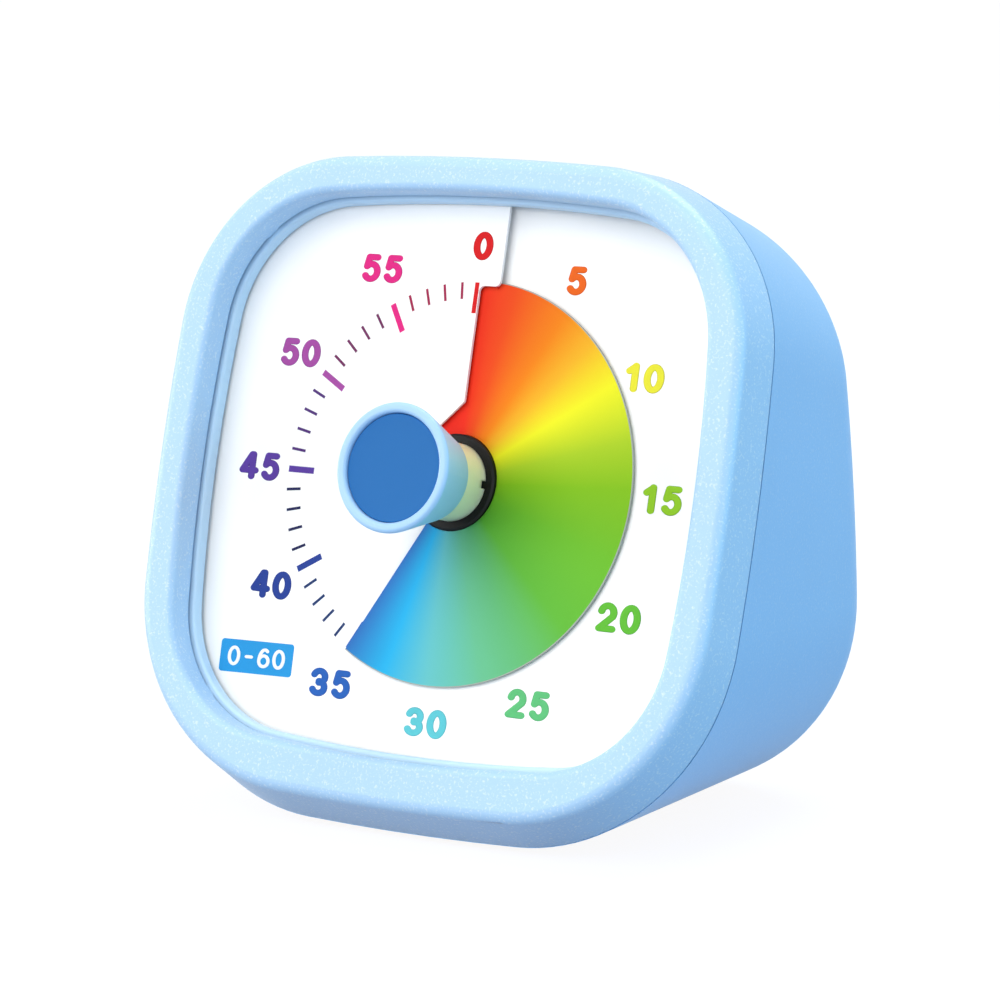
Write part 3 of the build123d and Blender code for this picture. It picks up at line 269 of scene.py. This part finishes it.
def wound_copper():
    """Enamelled copper wire in close turns: bands of copper and shade across the coil. They are
    drawn coarser than the real 0.08 mm wire, so that they show."""
    made, tree, shader, place = blank("enamelled_copper_wire")
    half_turn = 0.06
    turns = node(tree, "TexWave", {"Vector": place, "Scale": 1 / (2 * pi * half_turn * mm),
                                   "Distortion": 0.4}, bands_direction="X")
    tint = node(tree, "Mix", {0: turns.outputs["Fac"], 6: linear("#7A3316"),
                              7: linear("#C77440")}, data_type="RGBA")
    bump = node(tree, "Bump", {"Height": turns.outputs["Fac"], "Distance": 0.05 * mm})
    feed(tree, shader, {"Base Color": tint.outputs[2], "Normal": bump.outputs["Normal"],
                        "Metallic": 0.6, "Roughness": 0.35})
    return made


def cell_jacket():
    """Shrunk printed jacket on a steel can: bare metal at both ends, and a plain green band near
    the positive one."""
    made, tree, shader, place = blank("printed_cell_jacket")
    low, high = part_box("battery_cell")
    parts = node(tree, "SeparateXYZ", {"Vector": place})
    along = node(tree, "MapRange", {"Value": parts.outputs["X"], "From Min": low.x,
                                    "From Max": high.x})
    bands = node(tree, "ValToRGB", {"Fac": along.outputs["Result"]})
    set_stops(bands, [(0.0, "#A9ADB2"), (0.03, "#343B44"), (0.7, "#343B44"), (0.71, "#C9CDD2"),
                      (0.73, "#2E8B57"), (0.965, "#2E8B57"), (0.97, "#B4B8BD")])
    bands.color_ramp.interpolation = "CONSTANT"
    dull = node(tree, "TexNoise", {"Vector": place, "Scale": 1 / (3 * mm), "Detail": 3.0})
    rough = node(tree, "MapRange", {"Value": dull.outputs["Fac"], "To Min": 0.25, "To Max": 0.4})
    feed(tree, shader, {"Base Color": bands.outputs["Color"],
                        "Roughness": rough.outputs["Result"], "Metallic": 0.3})
    return made


# Spark-eroded ABS has an even fine grain and a soft sheen, with painted glints: small pale dots in its colour. The
# ring and the shell are one ABS in two shades, painted light and painted shade. The shell's walls lie turned from
# the lamps, so it is a shade deeper and has fewer painted glints.
lit_ring_abs = plastic("spark_eroded_abs_ring_painted_light", "#ADD4F6", 0.4, 0.25, 0.03, painted_glints=0.42)
shaded_shell_abs = plastic("spark_eroded_abs_shell_painted_shade", "#93C9F7", 0.46, 0.25, 0.03, painted_glints=0.12)
# Satin ABS has no dots, and one soft highlight along each edge. The inner frame's ABS is painted paler than the
# ring's: painted light that makes its bead bright.
lit_frame_abs = plastic("satin_abs_inner_frame_painted_light", "#C4E4FC", 0.38, 0.5, 0.004)
knob_abs = plastic("satin_abs_knob", "#A9D3F9", 0.4, 0.5, 0.004)
# Smooth ABS on the cap is an even deep blue that mirrors nothing.
cap_abs = plastic("smooth_abs_cap", "#286FB4", 0.5, 0.8, 0.004, gloss=0.12)
# Polypropylene sheet is plain white and very even.
sheet_pp = plastic("white_polypropylene_sheet", "#FDFDFC", 0.5, 0.3, 0.003, drift=0.01, ior=1.49)
# Plain moulded ABS inside the housing: a dull off-white, and a near black with a faint sheen.
inner_abs = plastic("white_moulded_abs", "#E6E6E0", 0.45, 0.5, 0.006)
black_abs = plastic("black_moulded_abs", "#08090A", 0.5, 0.4, 0.01, drift=0.15, gloss=0.2)
# Acetal lets light in, which makes it milky: cream where it is natural, whiter in the gears.
natural_acetal = plastic("natural_acetal", "#FFFAD2", 0.35, 0.6, 0.005, ior=1.48, clear=0.4)
white_acetal = plastic("white_acetal_gears", "#EFEDE4", 0.35, 0.5, 0.005, ior=1.48, clear=0.15)
# Rubber feet are dull and uneven, and the resin over the chip is a glossy black blob with waves.
rubber = plastic("moulded_rubber_feet", "#2A2A2C", 0.75, 0.35, 0.02, drift=0.2, ior=1.52)
resin = plastic("potting_resin", "#121212", 0.18, 1.5, 0.02, drift=0.3, ior=1.56)
# PVC insulation is smooth with a soft sheen.
red_pvc = plastic("red_pvc_insulation", "#B4201C", 0.42, 0.6, 0.006)
black_pvc = plastic("black_pvc_insulation", "#202022", 0.42, 0.6, 0.006)
# Sintered ferrite is a dull charcoal with a coarse grain.
ferrite = plastic("sintered_ferrite", "#2E2E30", 0.6, 0.25, 0.02, drift=0.25, ior=1.8)
# Zinc plate is bright and even, nickel on spring steel warmer and drawn out along the strip,
# silicon steel dull grey, and turned brass yellow with the marks of its turning.
zinc = metal("zinc_plated_steel", "#C4C6C8", 0.3, 0.3)
spring_steel = metal("nickel_plated_spring_steel", "#CFCBC0", 0.24, 0.2, stretch=(1, 8, 8))
silicon_steel = metal("stamped_silicon_steel", "#9C9EA2", 0.42, 0.25)
turned_brass = metal("turned_brass", "#D9B45C", 0.24, 0.15, stretch=(8, 1, 8))
finish = {
    lit_ring_abs: ("front_bezel",),
    shaded_shell_abs: ("rear_shell", "battery_door"),
    lit_frame_abs: ("dial_frame",),
    knob_abs: ("knob",),
    cap_abs: ("knob_cap",),
    sheet_pp: ("dial_sheet",),
    inner_abs: ("dial_plate",),
    printed_film(): ("disc_film",),
    black_abs: ("disc_carrier", "movement_base", "movement_cover", "buzzer", "switch_body",
                "switch_slider"),
    natural_acetal: ("hub_sleeve", "coil_bobbin"),
    white_acetal: ("centre_wheel", "third_wheel", "fourth_wheel", "fifth_wheel", "rotor_pinion",
                   "zero_cam"),
    rubber: ("rubber_feet",),
    resin: ("timer_chip",),
    red_pvc: ("battery_leads",),
    black_pvc: ("buzzer_leads", "switch_leads"),
    ferrite: ("rotor_magnet",),
    zinc: ("case_screws", "frame_screws", "movement_screws", "switch_screws", "centre_arbor",
           "crystal"),
    spring_steel: ("clutch_spring", "retaining_clip", "contact_blade", "spring_contact",
                   "plate_contact"),
    silicon_steel: ("stator", "coil_core"),
    turned_brass: ("centre_bush",),
    circuit_laminate(): ("circuit_board",),
    wound_copper(): ("coil_winding",),
    cell_jacket(): ("battery_cell",),
}
for material, names in finish.items():
    for name in names:
        mesh = frame["nodes"][name].data
        mesh.materials.clear()
        mesh.materials.append(material)


# ---- printing on the dial ------------------------------------------------------------------
def minute_of(x, y):
    """Place of a point on the dial in minutes. The flap carries the last minute over the slit."""
    clockwise = Vector((0, 1)).angle_signed(Vector((x, y))) % (2 * pi)
    minutes = degrees(clockwise) / minute_turn
    if minutes < flap_minutes and y > flap_low:
        minutes += 60
    return minutes


def lay_on_dial(piece):
    """Sets a flat piece, drawn about the dial's centre in millimetres, down on the sheet."""
    for vertex in piece.data.vertices:
        x, y, z = vertex.co - Vector((0, print_drop, 0))
        level = ramp * minute_of(x, y) / 60 - ramp / 2 + sheet_top
        vertex.co = face @ (Vector((x, y, z + level)) * mm)


def print_piece(parts, name, material):
    """Joins the parts of one print into a piece that rides on the dial."""
    bpy.ops.object.select_all(action="DESELECT")
    for part in parts:
        part.select_set(True)
    bpy.context.view_layer.objects.active = parts[0]
    if len(parts) > 1:
        bpy.ops.object.join()
    piece = bpy.context.object
    piece.name = name
    piece.data.materials.clear()
    piece.data.materials.append(material)
    lay_on_dial(piece)
    piece.select_set(False)
    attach(piece, "root")


def arc(x, y, reach_x, reach_y, start, end, steps=16):
    """Points along part of an ellipse, angles anticlockwise from the right."""
    angles = [radians(start + (end - start) * i / steps) for i in range(steps + 1)]
    return [(x + reach_x * cos(a), y + reach_y * sin(a)) for a in angles]


high, wide = (numeral_height - stroke) / 2, (numeral_width - stroke * widening) / 2
strokes = {                  # centre lines of the strokes, drawn from each character's middle
    "0": [arc(0, 0, wide, high, 0, 360, 32)],
    "1": [[(0.2, high), (0.2, -high)], [(0.2, high - 0.05), (-0.62, high - 0.62)]],
    "2": [arc(0.05, 0.52, 0.86, high - 0.52, 168, -30) + [(0.05 - wide, -high)],
          [(0.05 - wide, -high), (wide - 0.02, -high)]],
    "3": [arc(-0.02, 0.66, 0.84, high - 0.66, 160, -90),
          arc(-0.02, -0.64, wide - 0.04, high - 0.64, 90, -155)],
    "4": [[(0.5, high), (0.5, -high)], [(0.3, high), (-wide, -0.62)],
          [(-wide, -0.62), (wide + 0.1, -0.62)]],
    "5": [[(wide - 0.15, high), (-0.45, high)], [(-0.45, high), (-0.68, 0.2)],
          arc(0.0, -0.44, wide, high - 0.44, 135, -146, 24)],
    "6": [arc(0, -0.5, wide, high - 0.5, 0, 360, 32),
          arc(0.12, -0.5, wide + 0.12, high + 0.5, 62, 180)],
    "-": [[(-0.5, 0), (0.5, 0)]],
}
closing_gap = 0.001          # a stroke whose two ends are nearer than this is a ring
end_steps = (1.0, 0.97, 0.88, 0.7, 0.4)   # places along a round end, from its tip inwards
tip = 0.01                   # the tip's radius, as a share of the stroke's


def character(letter, x, y, size, weight):
    """A character as flattened strokes with round ends, each bevelled along its centre line and
    then drawn out sideways, which makes the upright strokes the wider ones."""
    parts = []
    for points in strokes[letter]:
        curve = bpy.data.curves.new("stroke", "CURVE")
        curve.dimensions = "3D"
        curve.bevel_depth = weight / 2
        curve.bevel_resolution = 2
        line = [Vector((size * px / widening, size * py, 0)) for px, py in points]
        swell = [1.0] * len(line)
        closed = (line[0] - line[-1]).length < closing_gap
        if closed:
            line, swell = line[:-1], swell[:-1]
        else:
            first = (line[0] - line[1]).normalized()
            last = (line[-1] - line[-2]).normalized()
            head = [line[0] + first * weight / 2 * s for s in end_steps]
            foot = [line[-1] + last * weight / 2 * s for s in reversed(end_steps)]
            round_end = [sqrt(1 + tip ** 2 - s * s) for s in end_steps]
            line = head + line + foot
            swell = round_end + swell + round_end[::-1]
        spline = curve.splines.new("POLY")
        spline.points.add(len(line) - 1)
        for point, place, width in zip(spline.points, line, swell):
            point.co = (*place, 1)
            point.radius = width
        spline.use_cyclic_u = closed
        part = bpy.data.objects.new("stroke", curve)
        bpy.context.collection.objects.link(part)
        bpy.context.view_layer.objects.active = part
        part.select_set(True)
        bpy.ops.object.convert(target="MESH")
        part = bpy.context.object
        part.data.transform(Matrix.Translation((x, y, 0))
                            @ Matrix.Diagonal((widening, 1, 2 * ink / weight, 1)))
        part.select_set(False)
        parts.append(part)
    return parts


def line_of_text(text, x, y, pitch, size, weight):
    """The strokes of a text, its characters evenly spaced about its middle."""
    first = x - (len(text) - 1) / 2 * pitch
    return [part for i, letter in enumerate(text)
            for part in character(letter, first + i * pitch, y, size, weight)]


inks = {minute: screen_ink(f"screen_ink_{minute}", shade)
        for minute, shade in scale_colours.items()}
dark_inks = {minute: screen_ink(f"screen_ink_dark_{minute}", shade)
             for minute, shade in dark_colours.items()}
shifts = {0: (-0.25, 0), 5: (-1.65, 0.45), 10: (-1.2, 0), 15: (-0.5, 0.35), 20: (-0.15, 0.55),
          25: (-0.3, -0.2), 30: (0.3, 0), 35: (0.3, -0.6), 40: (0.25, 0), 45: (0, 0),
          50: (0, 0), 55: (-0.1, 0.45)}            # of each numeral from the numerals' circle

for minute, material in inks.items():
    angle = radians(90 - minute_turn * minute)
    right, up = shifts[minute]
    text = str(minute)
    pitch = narrow_pitch if "1" in text else numeral_pitch
    parts = line_of_text(text, numeral_radius * cos(angle) + right,
                         numeral_radius * sin(angle) + up, pitch, 1.0, stroke)
    print_piece(parts, f"numeral_{minute:02d}", material)


def tick(minute, inner, outer, width, right=0.0):
    """One mark of the scale, pushed up from the sheet and turned to its minute."""
    bpy.ops.mesh.primitive_plane_add(size=1, location=(0, 0, 0))
    mark = bpy.context.object
    mark.data.transform(Matrix.Translation((right, (inner + outer) / 2, 0))
                        @ Matrix.Diagonal((width, outer - inner, 1, 1)))
    bpy.ops.object.mode_set(mode="EDIT")
    bpy.ops.mesh.select_all(action="SELECT")
    bpy.ops.mesh.subdivide(number_cuts=1)
    bpy.ops.mesh.extrude_region_move(TRANSFORM_OT_translate={"value": (0, 0, ink)})
    bpy.ops.object.mode_set(mode="OBJECT")
    mark.data.transform(Matrix.Rotation(radians(-minute_turn * minute), 4, "Z"))
    mark.select_set(False)
    return mark


for first, material in inks.items():
    if first:
        bold = tick(first, bold_inner, bold_outer, bold_width)
    else:
        bold = tick(first, bold_inner, bold_outer, zero_width, zero_right)
    print_piece([bold], f"five_minute_mark_{first:02d}", material)
    marks = [tick(minute, tick_inner, tick_outer, tick_width)
             for minute in range(first + 1, first + 5)]
    print_piece(marks, f"minute_marks_{first:02d}", dark_inks.get(first, material))

bpy.ops.mesh.primitive_plane_add(size=1, location=(0, 0, 0))
tag = bpy.context.object
tag.data.transform(Matrix.Diagonal((tag_width, tag_height, 1, 1)))
bpy.ops.object.mode_set(mode="EDIT")
bpy.ops.mesh.select_all(action="SELECT")
bpy.ops.mesh.bevel(offset=tag_corner, segments=6, affect="VERTICES")
bpy.ops.mesh.extrude_region_move(TRANSFORM_OT_translate={"value": (0, 0, ink)})
bpy.ops.object.mode_set(mode="OBJECT")
tag_place = Matrix.Translation((tag_x, tag_y, 0)) @ Matrix.Rotation(radians(tag_turn), 4, "Z")
tag.data.transform(tag_place)
print_piece([tag], "range_tag", screen_ink("screen_ink_tag", "#2394D4"))
letters = line_of_text(tag_text, 0, 0, tag_pitch, tag_size, tag_stroke)
for part in letters:
    part.data.transform(tag_place @ Matrix.Translation((0, 0, ink)))
print_piece(letters, "range_tag_text", screen_ink("screen_ink_white", "#F7FBFF"))


# ---- floor, lights and camera --------------------------------------------------------------
def seen_white(tree):
    """1 for the camera, mirrors and clear plastics, which see the backdrop as white."""
    path = node(tree, "LightPath", {}).outputs
    mirror = node(tree, "Math", {0: path["Is Camera Ray"], 1: path["Is Glossy Ray"]},
                  operation="MAXIMUM")
    return node(tree, "Math", {0: mirror.outputs[0], 1: path["Is Transmission Ray"]},
                operation="MAXIMUM").outputs[0]


# Painted board, matt and a little speckled. Its blue-grey lights the lower walls from below. The
# camera sees half of it and half a glow, which add up to white and keep the object's shadow.
glow_share, glow_strength = 0.5, 1.86
bpy.ops.mesh.primitive_plane_add(size=30, location=(0, 0, 0))
floor = bpy.context.object
floor.name = "floor"
floor_paint, floor_tree, floor_shader, floor_place = blank("pale_floor")
speckle = node(floor_tree, "TexNoise", {"Vector": floor_place, "Scale": 1 / (25 * mm)})
floor_tint = node(floor_tree, "Mix", {0: speckle.outputs["Fac"], 6: linear("#7088A6"),
                                      7: linear("#748CAA")}, data_type="RGBA")
feed(floor_tree, floor_shader, {"Base Color": floor_tint.outputs[2], "Roughness": 0.9})
glow = node(floor_tree, "Emission", {"Color": (1.0, 0.98, 0.95, 1), "Strength": glow_strength})
share = node(floor_tree, "Math", {0: seen_white(floor_tree), 1: glow_share},
             operation="MULTIPLY")
shown_floor = node(floor_tree, "MixShader", {0: share.outputs[0], 1: floor_shader.outputs[0],
                                             2: glow.outputs[0]})
feed(floor_tree, floor_tree.nodes["Material Output"], {"Surface": shown_floor.outputs[0]})
floor.data.materials.append(floor_paint)

world = bpy.data.worlds.new("studio")
bpy.context.scene.world = world
world.use_nodes = True
sky = world.node_tree
lit = node(sky, "Background", {"Color": (1, 1, 1, 1), "Strength": 0.16})
white = node(sky, "Background", {"Color": (1, 1, 1, 1), "Strength": 1.0})
backdrop = node(sky, "MixShader", {0: seen_white(sky), 1: lit.outputs[0], 2: white.outputs[0]})
feed(sky, sky.nodes["World Output"], {"Surface": backdrop.outputs[0]})


def place_lamp(lamp, place):
    """Hangs a lamp at a place in the face frame, in millimetres, so that it looks at the dial."""
    holder = bpy.data.objects.new(lamp.name, lamp)
    bpy.context.collection.objects.link(holder)
    where = face @ (Vector(place) * mm)
    turned = (centre - where).to_track_quat("-Z", "Y")
    holder.matrix_world = Matrix.LocRotScale(where, turned, None)


def softbox(name, place, size, power, colour=(1, 1, 1)):
    """A square lamp, its size in millimetres and its power in watts."""
    lamp = bpy.data.lights.new(name, "AREA")
    lamp.size = size * mm
    lamp.energy = power
    lamp.color = colour
    place_lamp(lamp, place)


key = bpy.data.lights.new("key", "SUN")     # far off, so that the floor is lit evenly
key.energy = 2.35
key.color = (1, 0.975, 0.935)
key.angle = radians(60)
place_lamp(key, (-260, 330, 1150))
softbox("left", (-1150, -250, 330), size=800, power=14.0, colour=(1, 0.98, 0.94))
softbox("top", (100, 1200, 0), size=800, power=10.0, colour=(1, 0.92, 0.86))
softbox("right", (1300, 60, -100), size=900, power=11.0, colour=(0.2, 0.76, 1.0))
softbox("edge", (1080, 60, 650), size=260, power=2.2)      # lights the ring's right edge

camera = bpy.data.cameras.new("camera")
camera.lens = 144.12
camera.sensor_width = 36.0
viewer = bpy.data.objects.new("camera", camera)
bpy.context.collection.objects.link(viewer)
camera_place = Vector((268.3, -33.0, 409.8))              # in the face frame
camera_turn = Euler([radians(a) for a in (8.52, 31.743, 9.046)])
viewer.matrix_world = face @ Matrix.LocRotScale(camera_place * mm, camera_turn, None)
bpy.context.scene.camera = viewer
bpy.context.scene.view_settings.view_transform = "Standard"
